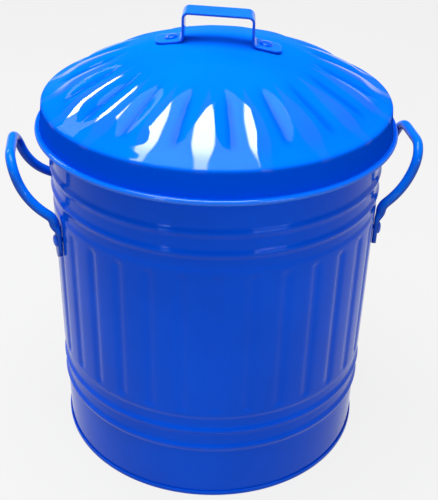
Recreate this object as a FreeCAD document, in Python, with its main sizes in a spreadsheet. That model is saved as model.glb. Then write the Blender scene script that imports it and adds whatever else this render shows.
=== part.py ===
import FreeCAD, Part
import math
import os
import Sketcher

# Steel household bin with a lift-off domed lid. Millimetres, +Z up, origin on the floor at the
# middle of the bin. The side handles lie on the X axis, +X is the right-hand side.

doc = FreeCAD.newDocument("household_bin")
sheet = doc.addObject("Spreadsheet::Sheet", "Sizes")

SIZES = (
    # Wall of the bin: outer face of the plain sheet, at the floor and at the rim
    ("wall_sheet", 0.7),
    ("wall_foot_radius", 167.7),
    ("wall_top_radius", 171.0),
    ("rim_height", 389.0),
    ("rim_wire_radius", 1.9),
    ("roll_lap", 1.3),
    ("wire_clearance", 0.05),
    # Two ring beads below the fluted belt and two above it
    ("bead_rise", 2.2),
    ("bead_round", 7.0),
    ("bead_pitch", 22.4),
    ("lower_bead_height", 68.0),
    ("upper_bead_drop", 86.5),
    # Fluted belt, which stands proud of the plain wall
    ("belt_rise", 1.5),
    ("belt_foot", 105.0),
    ("belt_drop", 100.0),
    ("belt_shoulder", 6.0),
    ("flute_count", 32),
    ("flute_width", 12.0),
    ("flute_depth", 2.2),
    ("flute_margin", 9.5),
    # Base pan, crimped round the lower edge of the wall
    ("pan_sheet", 0.8),
    ("pan_lift", 11.0),
    ("seam_clearance", 0.15),
    ("foot_lip", 1.6),
    ("foot_height", 6.0),
    # Side handles: a bent rod with flattened, riveted ends
    ("leg_pitches", 1.5),
    ("rod_radius", 5.3),
    ("rod_first_bend", 4.5),
    ("rod_run", 2.6),
    ("rod_run_rise", 28.5),
    ("rod_second_bend", 61.0),
    ("rod_arch_rise", 72.8),
    ("rod_corner", 22.6),
    ("leg_lean", 19.5),
    ("paddle_width", 15.0),
    ("paddle_thickness", 5.0),
    ("paddle_length", 38.0),
    ("neck_gap", 1.0),
    ("neck_lap", 1.5),
    ("neck_step", 0.2),
    ("paddle_seat", 0.05),
    ("rod_seat", 0.45),
    ("handle_rivet_drop", 132.5),
    # Lid: domed pressing that drops over the rim
    ("lid_sheet", 0.7),
    ("lid_clearance", 1.4),
    ("seat_clearance", 0.3),
    ("dome_radius", 302.0),
    ("dome_flat", 2.0),
    ("ring_width", 17.95),
    ("ridge_rise", 3.5),
    ("ridge_end", 4.0),
    ("ring_slope", 25.0),
    ("lid_turn", 2.8),
    ("shoulder_round", 7.0),
    ("skirt_drop", 26.5),
    ("skirt_flare", 2.9),
    ("lid_wire_radius", 2.2),
    ("valley_count", 19),
    ("valley_round", 9.0),
    ("valley_depth", 2.5),
    ("valley_inner_radius", 92.0),
    ("valley_overrun", 3.0),
    # Strap handle of the lid
    ("strap_width", 27.0),
    ("strap_thickness", 2.8),
    ("strap_seat", 0.05),
    ("strap_bend", 7.0),
    ("foot_bend", 3.0),
    ("foot_corner", 8.0),
    ("grip_length", 72.5),
    ("grip_rise", 31.3),
    ("strap_rivet_offset", 10.75),
    ("foot_reach", 16.0),
    ("strap_turn", -16.7),
    # Rivets and their backing washers
    ("shank_radius", 2.5),
    ("hole_clearance", 0.1),
    ("drill_length", 12.0),
    ("head_radius", 6.5),
    ("head_height", 3.0),
    ("tail_radius", 4.0),
    ("tail_height", 1.4),
    ("washer_radius", 6.0),
    ("washer_thickness", 1.0),
    ("washer_gap", 0.1),
)
for row, (alias, number) in enumerate(SIZES, start=1):
    sheet.set("A%d" % row, alias)
    sheet.set("B%d" % row, str(number))
    sheet.setAlias("B%d" % row, alias)
doc.recompute()
TOUCH = 1e-3


def value(expression):
    """Number that an expression on the sheet gives."""
    result = sheet.evalExpression(str(expression))
    return float(getattr(result, "Value", result))


def roll_reach(bore, sheet_size):
    """Distance from a sheet's outer face to the centre of its rolled edge, which covers its end."""
    outer = "sqrt((%s + %s) ^ 2 - Sizes.roll_lap ^ 2)" % (bore, sheet_size)
    inner = "sqrt(%s ^ 2 - Sizes.roll_lap ^ 2)" % bore
    return "((%s + %s - %s) / 2)" % (outer, inner, sheet_size)


# Places that several pieces share, as expressions on the sheet
RIM_BORE = "(Sizes.rim_wire_radius + Sizes.wire_clearance)"
RIM_ROLL = "(%s + Sizes.wall_sheet)" % RIM_BORE
RIM_CENTRE = "(Sizes.wall_top_radius + %s)" % roll_reach(RIM_BORE, "Sizes.wall_sheet")
LID_BORE = "(Sizes.lid_wire_radius + Sizes.wire_clearance)"
LID_ROLL = "(%s + Sizes.lid_sheet)" % LID_BORE
SHOULDER_RADIUS = "(%s + %s + Sizes.lid_clearance + Sizes.lid_sheet)" % (RIM_CENTRE, RIM_ROLL)
SKIRT_RADIUS = "(%s + Sizes.skirt_flare)" % SHOULDER_RADIUS
LID_EDGE_HEIGHT = "(Sizes.rim_height - Sizes.skirt_drop)"
LID_EDGE_CENTRE = "(%s + %s)" % (SKIRT_RADIUS, roll_reach(LID_BORE, "Sizes.lid_sheet"))
RING_OFF = "((%s + Sizes.seat_clearance + Sizes.lid_sheet) / cos(Sizes.ring_slope))" % RIM_ROLL
HOLE_RADIUS = "(Sizes.shank_radius + Sizes.hole_clearance)"
STRAP_RIVETS = "(Sizes.grip_length / 2 + Sizes.strap_rivet_offset)"
WALL_SLOPE = "((Sizes.wall_top_radius - Sizes.wall_foot_radius) / Sizes.rim_height)"
FLUTE_PITCH = "(360 / Sizes.flute_count)"
LEG_ANGLE = "(Sizes.leg_pitches * %s)" % FLUTE_PITCH
HANDLE_RIVETS = "(Sizes.rim_height - Sizes.handle_rivet_drop)"
ROD_START = "(%s + Sizes.paddle_length / 2 + Sizes.neck_gap)" % HANDLE_RIVETS
NECK_FOOT = "(%s + Sizes.head_radius + Sizes.neck_gap)" % HANDLE_RIVETS
BELT_TOP = "(Sizes.rim_height - Sizes.belt_drop)"


def wall_radius(height):
    """Outer radius of the plain wall at a height."""
    return "(Sizes.wall_foot_radius + %s * (%s))" % (WALL_SLOPE, height)


def belt_radius(height):
    """Outer radius of the fluted belt at a height."""
    return "(%s + Sizes.belt_rise)" % wall_radius(height)


def ring_height(radius):
    """Height of the lid's plain outer ring, which rests on the rim, at a distance from the axis."""
    fall = "(%s - %s) * tan(Sizes.ring_slope)" % (radius, RIM_CENTRE)
    return "(Sizes.rim_height + %s - %s)" % (RING_OFF, fall)


DOME_EDGE = "(%s - Sizes.ring_width)" % RIM_CENTRE
DOME_EDGE_HEIGHT = "(%s + Sizes.ridge_rise)" % ring_height(DOME_EDGE)
DOME_CENTRE = "(%s - sqrt(Sizes.dome_radius ^ 2 - %s ^ 2))" % (DOME_EDGE_HEIGHT, DOME_EDGE)


def dome_height(radius):
    """Height of the lid's outer dome face at a distance from the axis."""
    return "(%s + sqrt(Sizes.dome_radius ^ 2 - (%s) ^ 2))" % (DOME_CENTRE, radius)


def origin_feature(body, role):
    """Plane or axis of a body's own origin."""
    for feature in body.Origin.OriginFeatures:
        if feature.Role == role:
            return feature
    raise ValueError(role)


def new_body(name):
    body = doc.addObject("PartDesign::Body", name)
    body.Label = name
    return body


def new_sketch(body, name, role="XZ_Plane"):
    sketch = body.newObject("Sketcher::SketchObject", name)
    sketch.AttachmentSupport = [(origin_feature(body, role), "")]
    sketch.MapMode = "FlatFace"
    return sketch


def bind(sketch, constraint, expression):
    """Adds a dimension to a sketch and ties it to the sheet."""
    index = sketch.addConstraint(constraint)
    sketch.setExpression("Constraints[%d]" % index, expression)


def pin(sketch, geometry, point, across, up):
    """Holds a point of a sketch at two expressions; None leaves a direction free."""
    for kind, axis, expression in (("DistanceX", -2, across), ("DistanceY", -1, up)):
        if expression is None:
            continue
        if expression == "0":
            sketch.addConstraint(Sketcher.Constraint("PointOnObject", geometry, point, axis))
            continue
        number = value(expression)
        bind(sketch, Sketcher.Constraint(kind, -1, 1, geometry, point, number), expression)


def outline(sketch, corners, arcs=None):
    """Closed outline through corners; arcs maps an edge's number to its centre's height on the axis."""
    arcs = arcs or {}
    count = len(corners)
    points = [FreeCAD.Vector(value(across), value(up), 0) for across, up in corners]
    for edge in range(count):
        start = points[edge]
        end = points[(edge + 1) % count]
        if edge in arcs:
            centre = FreeCAD.Vector(0, value(arcs[edge]), 0)
            first = math.atan2(start.y - centre.y, start.x)
            circle = Part.Circle(centre, FreeCAD.Vector(0, 0, 1), start.distanceToPoint(centre))
            last = math.atan2(end.y - centre.y, end.x)
            sketch.addGeometry(Part.ArcOfCircle(circle, first, last))
        else:
            sketch.addGeometry(Part.LineSegment(start, end))
    for edge in range(count):
        after = (edge + 1) % count
        sketch.addConstraint(Sketcher.Constraint("Coincident", edge, 2, after, 1))
    for edge, (across, up) in enumerate(corners):
        on_arc_end = (edge - 1) % count in arcs
        pin(sketch, edge, 1, across, None if on_arc_end else up)
        if edge in arcs:
            pin(sketch, edge, 3, "0", arcs[edge])


def circle(sketch, across, up, radius):
    number = sketch.addGeometry(
        Part.Circle(FreeCAD.Vector(value(across), value(up), 0), FreeCAD.Vector(0, 0, 1), value(radius)))
    pin(sketch, number, 3, across, up)
    bind(sketch, Sketcher.Constraint("Radius", number, value(radius)), radius)


def spin(body, sketch, name, kind="PartDesign::Revolution"):
    """Turns a sketch once round its own upright axis."""
    feature = body.newObject(kind, name)
    feature.Profile = sketch
    feature.ReferenceAxis = (sketch, ["V_Axis"])
    feature.Angle = 360
    sketch.Visibility = False
    return feature


def spin_groove(body, name, base, tilt, radius, length, count):
    """Cuts a round-ended groove about a tilted axis, and repeats it round the body.

    base is the axis's lower end as (across, up), tilt its lean from upright in degrees.
    """
    sketch = new_sketch(body, name + "_sketch")
    sketch.setExpression("AttachmentOffset.Base.x", base[0])
    sketch.setExpression("AttachmentOffset.Base.y", base[1])
    sketch.setExpression("AttachmentOffset.Rotation.Angle", tilt)
    round_size = value(radius)
    run = value(length)
    axis = FreeCAD.Vector(0, 0, 1)
    low = Part.Circle(FreeCAD.Vector(0, 0, 0), axis, round_size)
    high = Part.Circle(FreeCAD.Vector(0, run, 0), axis, round_size)
    sketch.addGeometry(Part.ArcOfCircle(low, -math.pi / 2, 0))
    side_low = FreeCAD.Vector(round_size, 0, 0)
    side_high = FreeCAD.Vector(round_size, run, 0)
    sketch.addGeometry(Part.LineSegment(side_low, side_high))
    sketch.addGeometry(Part.ArcOfCircle(high, 0, math.pi / 2))
    top = FreeCAD.Vector(0, run + round_size, 0)
    bottom = FreeCAD.Vector(0, -round_size, 0)
    sketch.addGeometry(Part.LineSegment(top, bottom))
    for edge in range(4):
        sketch.addConstraint(Sketcher.Constraint("Coincident", edge, 2, (edge + 1) % 4, 1))
    sketch.addConstraint(Sketcher.Constraint("Coincident", 0, 3, -1, 1))
    pin(sketch, 2, 3, "0", length)
    pin(sketch, 0, 1, "0", None)
    pin(sketch, 2, 2, "0", None)
    pin(sketch, 1, 1, None, "0")
    sketch.addConstraint(Sketcher.Constraint("Vertical", 1))
    bind(sketch, Sketcher.Constraint("Radius", 0, round_size), radius)
    doc.recompute()
    groove = spin(body, sketch, name, "PartDesign::Groove")
    doc.recompute()
    pattern = body.newObject("PartDesign::PolarPattern", name + "_ring")
    pattern.Originals = [groove]
    pattern.Axis = (origin_feature(body, "Z_Axis"), [""])
    pattern.Angle = 360
    pattern.setExpression("Occurrences", count)
    body.Tip = pattern
    doc.recompute()


def turn_about_axis(body, angle):
    """Turns a whole body about the Z axis."""
    body.Placement.Rotation = FreeCAD.Rotation(FreeCAD.Vector(0, 0, 1), value(angle))
    body.setExpression("Placement.Rotation.Angle", angle)
    doc.recompute()


def ring_body(name, across, up, radius, bore=None):
    """Round ring: a circle turned about the Z axis, hollow where it has a bore."""
    body = new_body(name)
    sketch = new_sketch(body, name + "_section")
    circle(sketch, across, up, radius)
    if bore:
        circle(sketch, across, up, bore)
    doc.recompute()
    spin(body, sketch, name + "_turn")
    doc.recompute()
    return body


def boolean(kind, name, base, tools):
    """Cut or fusion of document objects."""
    result = doc.addObject(kind, name)
    if kind == "Part::MultiFuse":
        result.Shapes = [base] + tools
    else:
        result.Base = base
        result.Tool = tools[0]
    result.Label = name
    doc.recompute()
    return result


def upright_frame(along, normal, base):
    """Placement whose local Y runs along a direction and whose local Z is a normal."""
    across = along.cross(normal)
    rotation = FreeCAD.Rotation(across, along, normal, "ZXY")
    return FreeCAD.Placement(base, rotation)


def wall_frame(angle, height, off):
    """Placement on the fluted belt: local Y up the wall, local Z out of it, off above its face."""
    slope = math.atan(value(WALL_SLOPE))
    outward = FreeCAD.Vector(math.cos(math.radians(angle)), math.sin(math.radians(angle)), 0)
    upward = FreeCAD.Vector(0, 0, 1)
    along = outward * math.sin(slope) + upward * math.cos(slope)
    normal = outward * math.cos(slope) - upward * math.sin(slope)
    base = outward * value(belt_radius(height)) + upward * value(height)
    return upright_frame(along, normal, base + normal * value(off))


def lid_frame(side, off):
    """Placement on the dome under one end of the strap: local Z out of the dome, off above its face."""
    turn = math.radians(value("Sizes.strap_turn"))
    outward = FreeCAD.Vector(math.cos(turn), math.sin(turn), 0) * side
    lean = math.asin(value("%s / Sizes.dome_radius" % STRAP_RIVETS))
    normal = outward * math.sin(lean) + FreeCAD.Vector(0, 0, 1) * math.cos(lean)
    along = outward * math.cos(lean) - FreeCAD.Vector(0, 0, 1) * math.sin(lean)
    base = FreeCAD.Vector(0, 0, value(DOME_CENTRE)) + normal * value("Sizes.dome_radius")
    return upright_frame(along, normal, base + normal * value(off))


def drill(name, placement):
    """Round tool for a rivet hole, centred on a placement's origin, along its Z."""
    tool = doc.addObject("Part::Cylinder", name)
    tool.setExpression("Radius", HOLE_RADIUS)
    tool.setExpression("Height", "Sizes.drill_length")
    half = FreeCAD.Placement(FreeCAD.Vector(0, 0, -value("Sizes.drill_length") / 2), FreeCAD.Rotation())
    tool.Placement = placement.multiply(half)
    return tool


# The bin's wall: a tapered tube with ring beads and a belt of upright flutes
WALL_BOTTOM = "(Sizes.pan_sheet + Sizes.seam_clearance)"
WALL_END = "(Sizes.rim_height - Sizes.roll_lap)"
FLUTE_ROUND = "((Sizes.flute_width ^ 2 / 4 + Sizes.flute_depth ^ 2) / (2 * Sizes.flute_depth))"
FLUTE_LOW = "(Sizes.belt_foot + Sizes.flute_margin + Sizes.flute_width / 2)"
FLUTE_HIGH = "(%s - Sizes.flute_margin - Sizes.flute_width / 2)" % BELT_TOP
HANDLE_SIDES = (("right", 0), ("left", 180))
LEG_SIDES = (("front", -1), ("back", 1))


def leg_angle(side_turn, leg_side):
    """Direction of one handle leg from the axis; the front legs face -Y on both sides."""
    facing = 1 if side_turn == 0 else -1
    return side_turn + facing * leg_side * value(LEG_ANGLE)


def wall_form(name, inset, overrun):
    """Solid of the wall's outer face, drawn in by inset; overrun lengthens both ends."""
    body = new_body(name)
    low = "(%s - %s)" % (WALL_BOTTOM, overrun)
    high = "(%s + %s)" % (WALL_END, overrun)
    belt_low = "(Sizes.belt_foot + Sizes.belt_shoulder)"
    belt_high = "(%s - Sizes.belt_shoulder)" % BELT_TOP
    steps = (
        (wall_radius(low), low),
        (wall_radius("Sizes.belt_foot"), "Sizes.belt_foot"),
        (belt_radius(belt_low), belt_low),
        (belt_radius(belt_high), belt_high),
        (wall_radius(BELT_TOP), BELT_TOP),
        (wall_radius(high), high),
    )
    corners = [("0", low)]
    for radius, height in steps:
        corners.append(("%s - %s" % (radius, inset), height))
    corners.append(("0", high))
    section = new_sketch(body, name + "_section")
    outline(section, corners)
    doc.recompute()
    spin(body, section, name + "_turn")
    beads = new_sketch(body, name + "_beads")
    for first in ("Sizes.lower_bead_height", "Sizes.rim_height - Sizes.upper_bead_drop"):
        for step in (0, 1):
            height = "(%s + %d * Sizes.bead_pitch)" % (first, step)
            centre = "%s + Sizes.bead_rise - Sizes.bead_round" % wall_radius(height)
            circle(beads, centre, height, "Sizes.bead_round - %s" % inset)
    doc.recompute()
    spin(body, beads, name + "_bead_turn")
    doc.recompute()
    off = "%s - Sizes.flute_depth" % FLUTE_ROUND
    base = ("%s + %s" % (belt_radius(FLUTE_LOW), off), FLUTE_LOW)
    tilt = "-atan(%s)" % WALL_SLOPE
    length = "(%s - %s) * sqrt(1 + %s ^ 2)" % (FLUTE_HIGH, FLUTE_LOW, WALL_SLOPE)
    spin_groove(body, name + "_flute", base, tilt, "%s + %s" % (FLUTE_ROUND, inset), length,
                "Sizes.flute_count")
    turn_about_axis(body, "%s / 2" % FLUTE_PITCH)
    return body


wall_outside = wall_form("wall_outside", "0", "0")
wall_inside = wall_form("wall_inside", "Sizes.wall_sheet", "Sizes.wall_sheet")
wall_tube = boolean("Part::Cut", "wall_tube", wall_outside, [wall_inside])
rim_roll = ring_body("rim_roll", RIM_CENTRE, "Sizes.rim_height", RIM_ROLL, RIM_BORE)
wall_blank = boolean("Part::MultiFuse", "wall_blank", wall_tube, [rim_roll])
wall_drills = []
for side_name, side_turn in HANDLE_SIDES:
    for leg_name, leg_side in LEG_SIDES:
        frame = wall_frame(leg_angle(side_turn, leg_side), HANDLE_RIVETS, "0")
        wall_drills.append(drill("wall_hole_%s_%s" % (side_name, leg_name), frame))
wall_holes = boolean("Part::MultiFuse", "wall_holes", wall_drills[0], wall_drills[1:])
body_shell = boolean("Part::Cut", "body_shell", wall_blank, [wall_holes])

# Steel wire inside the rolled rim
rim_wire = ring_body("rim_wire", RIM_CENTRE, "Sizes.rim_height", "Sizes.rim_wire_radius")

# Base pan: a raised floor whose edge is folded under and up round the lower edge of the wall
base_pan = new_body("base_pan")
pan_skirt = "(Sizes.wall_foot_radius - Sizes.wall_sheet - Sizes.seam_clearance)"
lip_inside = "(%s + Sizes.seam_clearance)" % wall_radius("Sizes.foot_height")
pan_top = "(Sizes.pan_lift + Sizes.pan_sheet)"
pan_section = new_sketch(base_pan, "base_pan_section")
outline(pan_section, (
    ("0", "Sizes.pan_lift"),
    ("%s - Sizes.pan_sheet" % pan_skirt, "Sizes.pan_lift"),
    ("%s - Sizes.pan_sheet" % pan_skirt, "0"),
    ("%s + Sizes.foot_lip" % lip_inside, "0"),
    ("%s + Sizes.foot_lip" % lip_inside, "Sizes.foot_height"),
    (lip_inside, "Sizes.foot_height"),
    (lip_inside, "Sizes.pan_sheet"),
    (pan_skirt, "Sizes.pan_sheet"),
    (pan_skirt, pan_top),
    ("0", pan_top),
))
doc.recompute()
spin(base_pan, pan_section, "base_pan_turn")
doc.recompute()


def rivet(name, grip, placement):
    """Domed rivet: local Z = 0 under its head, shank through a grip, formed tail below."""
    body = new_body(name)
    section = new_sketch(body, name + "_section")
    ball = "(Sizes.head_radius ^ 2 + Sizes.head_height ^ 2) / (2 * Sizes.head_height)"
    outline(section, (
        ("Sizes.head_radius", "0"),
        ("0", "Sizes.head_height"),
        ("0", "-%s - Sizes.tail_height" % grip),
        ("Sizes.shank_radius", "-%s - Sizes.tail_height" % grip),
        ("Sizes.tail_radius", "-%s" % grip),
        ("Sizes.shank_radius", "-%s" % grip),
        ("Sizes.shank_radius", "0"),
    ), {0: "Sizes.head_height - %s" % ball})
    doc.recompute()
    spin(body, section, name + "_turn")
    body.Placement = placement
    doc.recompute()
    return body


def washer(name, placement):
    """Flat backing washer: local Z = 0 on its face against the sheet, thickness below."""
    body = new_body(name)
    section = new_sketch(body, name + "_section")
    outline(section, (
        (HOLE_RADIUS, "0"),
        ("Sizes.washer_radius", "0"),
        ("Sizes.washer_radius", "-Sizes.washer_thickness"),
        (HOLE_RADIUS, "-Sizes.washer_thickness"),
    ))
    doc.recompute()
    spin(body, section, name + "_turn")
    body.Placement = placement
    doc.recompute()
    return body


def paddle(name, placement):
    """Flattened end of the handle rod: a plate with a round lower end and a rivet hole."""
    body = new_body(name)
    half = "Sizes.paddle_width / 2"
    run = "Sizes.paddle_length - Sizes.paddle_width"
    plate = new_sketch(body, name + "_plate", "XY_Plane")
    low = "-(%s) / 2" % run
    high = "(%s) / 2" % run
    reach = value(half)
    axis = FreeCAD.Vector(0, 0, 1)
    bottom = FreeCAD.Vector(0, value(low), 0)
    top = FreeCAD.Vector(0, value(high), 0)
    side = FreeCAD.Vector(reach, 0, 0)
    plate.addGeometry(Part.ArcOfCircle(Part.Circle(bottom, axis, reach), math.pi, 2 * math.pi))
    plate.addGeometry(Part.LineSegment(bottom + side, top + side))
    plate.addGeometry(Part.ArcOfCircle(Part.Circle(top, axis, reach), 0, math.pi))
    plate.addGeometry(Part.LineSegment(top - side, bottom - side))
    for edge in range(4):
        plate.addConstraint(Sketcher.Constraint("Tangent", edge, 2, (edge + 1) % 4, 1))
    pin(plate, 0, 3, "0", low)
    pin(plate, 2, 3, "0", high)
    bind(plate, Sketcher.Constraint("Radius", 0, reach), half)
    circle(plate, "0", "0", HOLE_RADIUS)
    doc.recompute()
    pad = body.newObject("PartDesign::Pad", name + "_pad")
    pad.Profile = plate
    pad.setExpression("Length", "Sizes.paddle_thickness")
    body.Placement = placement
    doc.recompute()
    return body


def turned(point, turn):
    """A point turned about the Z axis."""
    return FreeCAD.Rotation(FreeCAD.Vector(0, 0, 1), turn).multVec(point)


def bend(start, heading, target, radius):
    """Middle and end of an arc that starts along a heading and turns it to a target direction."""
    turn = heading.getAngle(target)
    inward = target - heading * math.cos(turn)
    inward.normalize()
    points = []
    for angle in (turn / 2, turn):
        points.append(start + heading * radius * math.sin(angle) + inward * radius * (1 - math.cos(angle)))
    return points


def risen(outward, rise):
    """Direction that climbs at a rise from a level direction."""
    return outward * math.cos(rise) + FreeCAD.Vector(0, 0, 1) * math.sin(rise)


def leg_points(sign):
    """Points of one rod leg at the right-hand side: up the wall, out, up again and into the arch."""
    wall_face = belt_radius(ROD_START)
    start_radius = value("%s + Sizes.rod_radius + Sizes.rod_seat" % wall_face)
    spread = math.radians(value(LEG_ANGLE))
    across = FreeCAD.Vector(0, -sign, 0)
    lean = math.radians(value("Sizes.leg_lean"))
    outward = FreeCAD.Vector(1, 0, 0) * math.cos(lean) + across * math.sin(lean)
    upward = FreeCAD.Vector(0, 0, 1)
    run_heading = risen(outward, math.radians(value("Sizes.rod_run_rise")))
    arch_heading = risen(outward, math.radians(value("Sizes.rod_arch_rise")))
    start = FreeCAD.Vector(math.cos(spread), sign * math.sin(spread), 0) * start_radius
    points = [start + upward * value(ROD_START)]
    points += bend(points[-1], upward, run_heading, value("Sizes.rod_radius + Sizes.rod_first_bend"))
    points.append(points[-1] + run_heading * value("Sizes.rod_run"))
    points += bend(points[-1], run_heading, arch_heading, value("Sizes.rod_second_bend"))
    points += bend(points[-1], arch_heading, across, value("Sizes.rod_corner"))
    return points


def rod_path(name, side_turn):
    """Centre line of a handle rod, from the front paddle over the arch to the back paddle."""
    edges = []
    tops = []
    for sign in (-1, 1):
        points = [turned(point, side_turn) for point in leg_points(sign)]
        edges.append(Part.Arc(points[0], points[1], points[2]).toShape())
        edges.append(Part.LineSegment(points[2], points[3]).toShape())
        edges.append(Part.Arc(points[3], points[4], points[5]).toShape())
        edges.append(Part.Arc(points[5], points[6], points[7]).toShape())
        tops.append(points[7])
    edges.append(Part.LineSegment(tops[0], tops[1]).toShape())
    path = doc.addObject("Part::Feature", name)
    path.Shape = Part.Wire(Part.__sortEdges__(edges))
    return path


def side_handle(side_name, side_turn):
    """One rod handle with its two flattened ends, on one side of the bin."""
    path = rod_path("rod_path_" + side_name, side_turn)
    section = doc.addObject("Part::Circle", "rod_section_" + side_name)
    section.setExpression("Radius", "Sizes.rod_radius")
    section.Placement = FreeCAD.Placement(path.Shape.OrderedVertexes[0].Point, FreeCAD.Rotation())
    rod = doc.addObject("Part::Sweep", "rod_" + side_name)
    rod.Sections = [section]
    rod.Spine = (path, [])
    rod.Solid = True
    rod.Frenet = False
    doc.recompute()
    ends = []
    for leg_name, leg_side in LEG_SIDES:
        angle = leg_angle(side_turn, leg_side)
        label = "%s_%s" % (side_name, leg_name)
        plate = wall_frame(angle, HANDLE_RIVETS, "Sizes.paddle_seat")
        ends.append(paddle("paddle_" + label, plate))
        neck = doc.addObject("Part::Cone", "neck_" + label)
        neck.setExpression("Radius1", "Sizes.paddle_thickness / 2")
        neck.setExpression("Radius2", "Sizes.rod_radius - Sizes.neck_step")
        top_height = "%s + Sizes.neck_lap" % ROD_START
        top = wall_frame(angle, top_height, "Sizes.rod_seat + Sizes.rod_radius").Base
        foot = wall_frame(angle, NECK_FOOT, "Sizes.paddle_seat + Sizes.paddle_thickness / 2").Base
        neck.Height = foot.distanceToPoint(top)
        neck.Placement = FreeCAD.Placement(foot, FreeCAD.Rotation(FreeCAD.Vector(0, 0, 1), top - foot))
        ends.append(neck)
    doc.recompute()
    return boolean("Part::MultiFuse", "side_handle_" + side_name, rod, ends)


# Side handles, with the rivets and washers that hold them to the wall
handle_pieces = []
WASHER_DROP = "(Sizes.flute_depth + Sizes.wall_sheet + Sizes.washer_gap)"
HEAD_SEAT = "(Sizes.paddle_seat + Sizes.paddle_thickness)"
HANDLE_GRIP = "(%s + %s + Sizes.washer_thickness)" % (HEAD_SEAT, WASHER_DROP)
for side_name, side_turn in HANDLE_SIDES:
    handle_pieces.append(side_handle(side_name, side_turn))
    for leg_name, leg_side in LEG_SIDES:
        angle = leg_angle(side_turn, leg_side)
        label = "%s_%s" % (side_name, leg_name)
        rivet_place = wall_frame(angle, HANDLE_RIVETS, HEAD_SEAT)
        washer_place = wall_frame(angle, HANDLE_RIVETS, "-%s" % WASHER_DROP)
        handle_pieces.append(rivet("handle_rivet_" + label, HANDLE_GRIP, rivet_place))
        handle_pieces.append(washer("handle_washer_" + label, washer_place))


def round_edge(body, base, name, radius, height, fillet):
    """Rounds the circular edge of a turned body that lies at a radius and a height."""
    picked = []
    for number, edge in enumerate(base.Shape.Edges, start=1):
        middle = edge.valueAt(edge.FirstParameter)
        near_radius = abs(math.hypot(middle.x, middle.y) - value(radius)) < TOUCH
        if near_radius and abs(middle.z - value(height)) < TOUCH and edge.Length > value(radius):
            picked.append("Edge%d" % number)
    feature = body.newObject("PartDesign::Fillet", name)
    feature.Base = (base, picked)
    feature.setExpression("Radius", fillet)
    doc.recompute()


def lid_form(name, inset, overrun):
    """Solid of the lid's outer face, drawn in by inset; overrun lengthens the skirt."""
    body = new_body(name)
    low = "(%s + Sizes.roll_lap - %s)" % (LID_EDGE_HEIGHT, overrun)
    skirt_end = "(%s - %s + %s * Sizes.skirt_flare / Sizes.skirt_drop)" % (SKIRT_RADIUS, inset, overrun)
    shoulder = "(%s - %s)" % (SHOULDER_RADIUS, inset)
    ring_drop = "(%s) / cos(Sizes.ring_slope)" % inset
    shoulder_height = "(%s - %s)" % (ring_height(shoulder), ring_drop)
    ring_edge = "(%s + Sizes.ridge_end - %s)" % (DOME_EDGE, inset)
    dome_edge = "(%s - %s)" % (DOME_EDGE, inset)
    ball = "(Sizes.dome_radius - %s)" % inset
    crown = "(%s + sqrt(%s ^ 2 - Sizes.dome_flat ^ 2))" % (DOME_CENTRE, ball)
    section = new_sketch(body, name + "_section")
    outline(section, (
        ("0", low),
        (skirt_end, low),
        (shoulder, shoulder_height),
        (ring_edge, "%s - %s" % (ring_height(ring_edge), ring_drop)),
        (dome_edge, "%s + sqrt(%s ^ 2 - %s ^ 2)" % (DOME_CENTRE, ball, dome_edge)),
        ("Sizes.dome_flat", crown),
        ("0", crown),
    ), {4: DOME_CENTRE})
    doc.recompute()
    turn = spin(body, section, name + "_turn")
    doc.recompute()
    shoulder_round = "Sizes.shoulder_round - %s" % inset
    round_edge(body, turn, name + "_shoulder", shoulder, shoulder_height, shoulder_round)
    outer_ball = "(Sizes.dome_radius + Sizes.valley_round - Sizes.valley_depth)"
    inner_ball = "(Sizes.dome_radius + Sizes.valley_round)"
    places = {}
    valley_end = "(%s + Sizes.valley_overrun)" % DOME_EDGE
    for end, reach, radius in (("outer", outer_ball, valley_end),
                               ("inner", inner_ball, "Sizes.valley_inner_radius")):
        lean = "(%s / Sizes.dome_radius)" % radius
        places[end] = ("%s * %s" % (reach, lean), "%s + %s * sqrt(1 - %s ^ 2)" % (DOME_CENTRE, reach, lean))
    across = "(%s - (%s))" % (places["outer"][0], places["inner"][0])
    rise = "(%s - (%s))" % (places["inner"][1], places["outer"][1])
    length = "sqrt(%s ^ 2 + %s ^ 2)" % (across, rise)
    tilt = "atan2(%s; %s)" % (across, rise)
    spin_groove(body, name + "_valley", places["outer"], tilt, "Sizes.valley_round + %s" % inset, length,
                "Sizes.valley_count")
    turn_about_axis(body, "Sizes.lid_turn")
    return body


# The lid's pressing: a dome with radial valleys, a rounded shoulder and a short skirt
lid_outside = lid_form("lid_outside", "0", "0")
lid_inside = lid_form("lid_inside", "Sizes.lid_sheet", "Sizes.lid_sheet")
lid_pressing = boolean("Part::Cut", "lid_pressing", lid_outside, [lid_inside])
lid_roll = ring_body("lid_roll", LID_EDGE_CENTRE, LID_EDGE_HEIGHT, LID_ROLL, LID_BORE)
lid_blank = boolean("Part::MultiFuse", "lid_blank", lid_pressing, [lid_roll])
LID_SIDES = (("right", 1), ("left", -1))
lid_drills = []
for side_name, side in LID_SIDES:
    lid_drills.append(drill("lid_hole_" + side_name, lid_frame(side, "0")))
lid_holes = boolean("Part::MultiFuse", "lid_holes", lid_drills[0], lid_drills[1:])
lid_shell = boolean("Part::Cut", "lid_shell", lid_blank, [lid_holes])

# Steel wire inside the lid's rolled edge
lid_edge_wire = ring_body("lid_edge_wire", LID_EDGE_CENTRE, LID_EDGE_HEIGHT, "Sizes.lid_wire_radius")

# Strap handle: one bent strip, with feet that lie on the dome
strap = new_body("strap")
half_grip = "(Sizes.grip_length / 2)"
inner_grip = "(%s - Sizes.strap_thickness)" % half_grip
foot_lean = "asin(%s / Sizes.dome_radius)" % STRAP_RIVETS
foot_level = "(%s + Sizes.strap_seat / cos(%s))" % (dome_height(STRAP_RIVETS), foot_lean)


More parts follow.
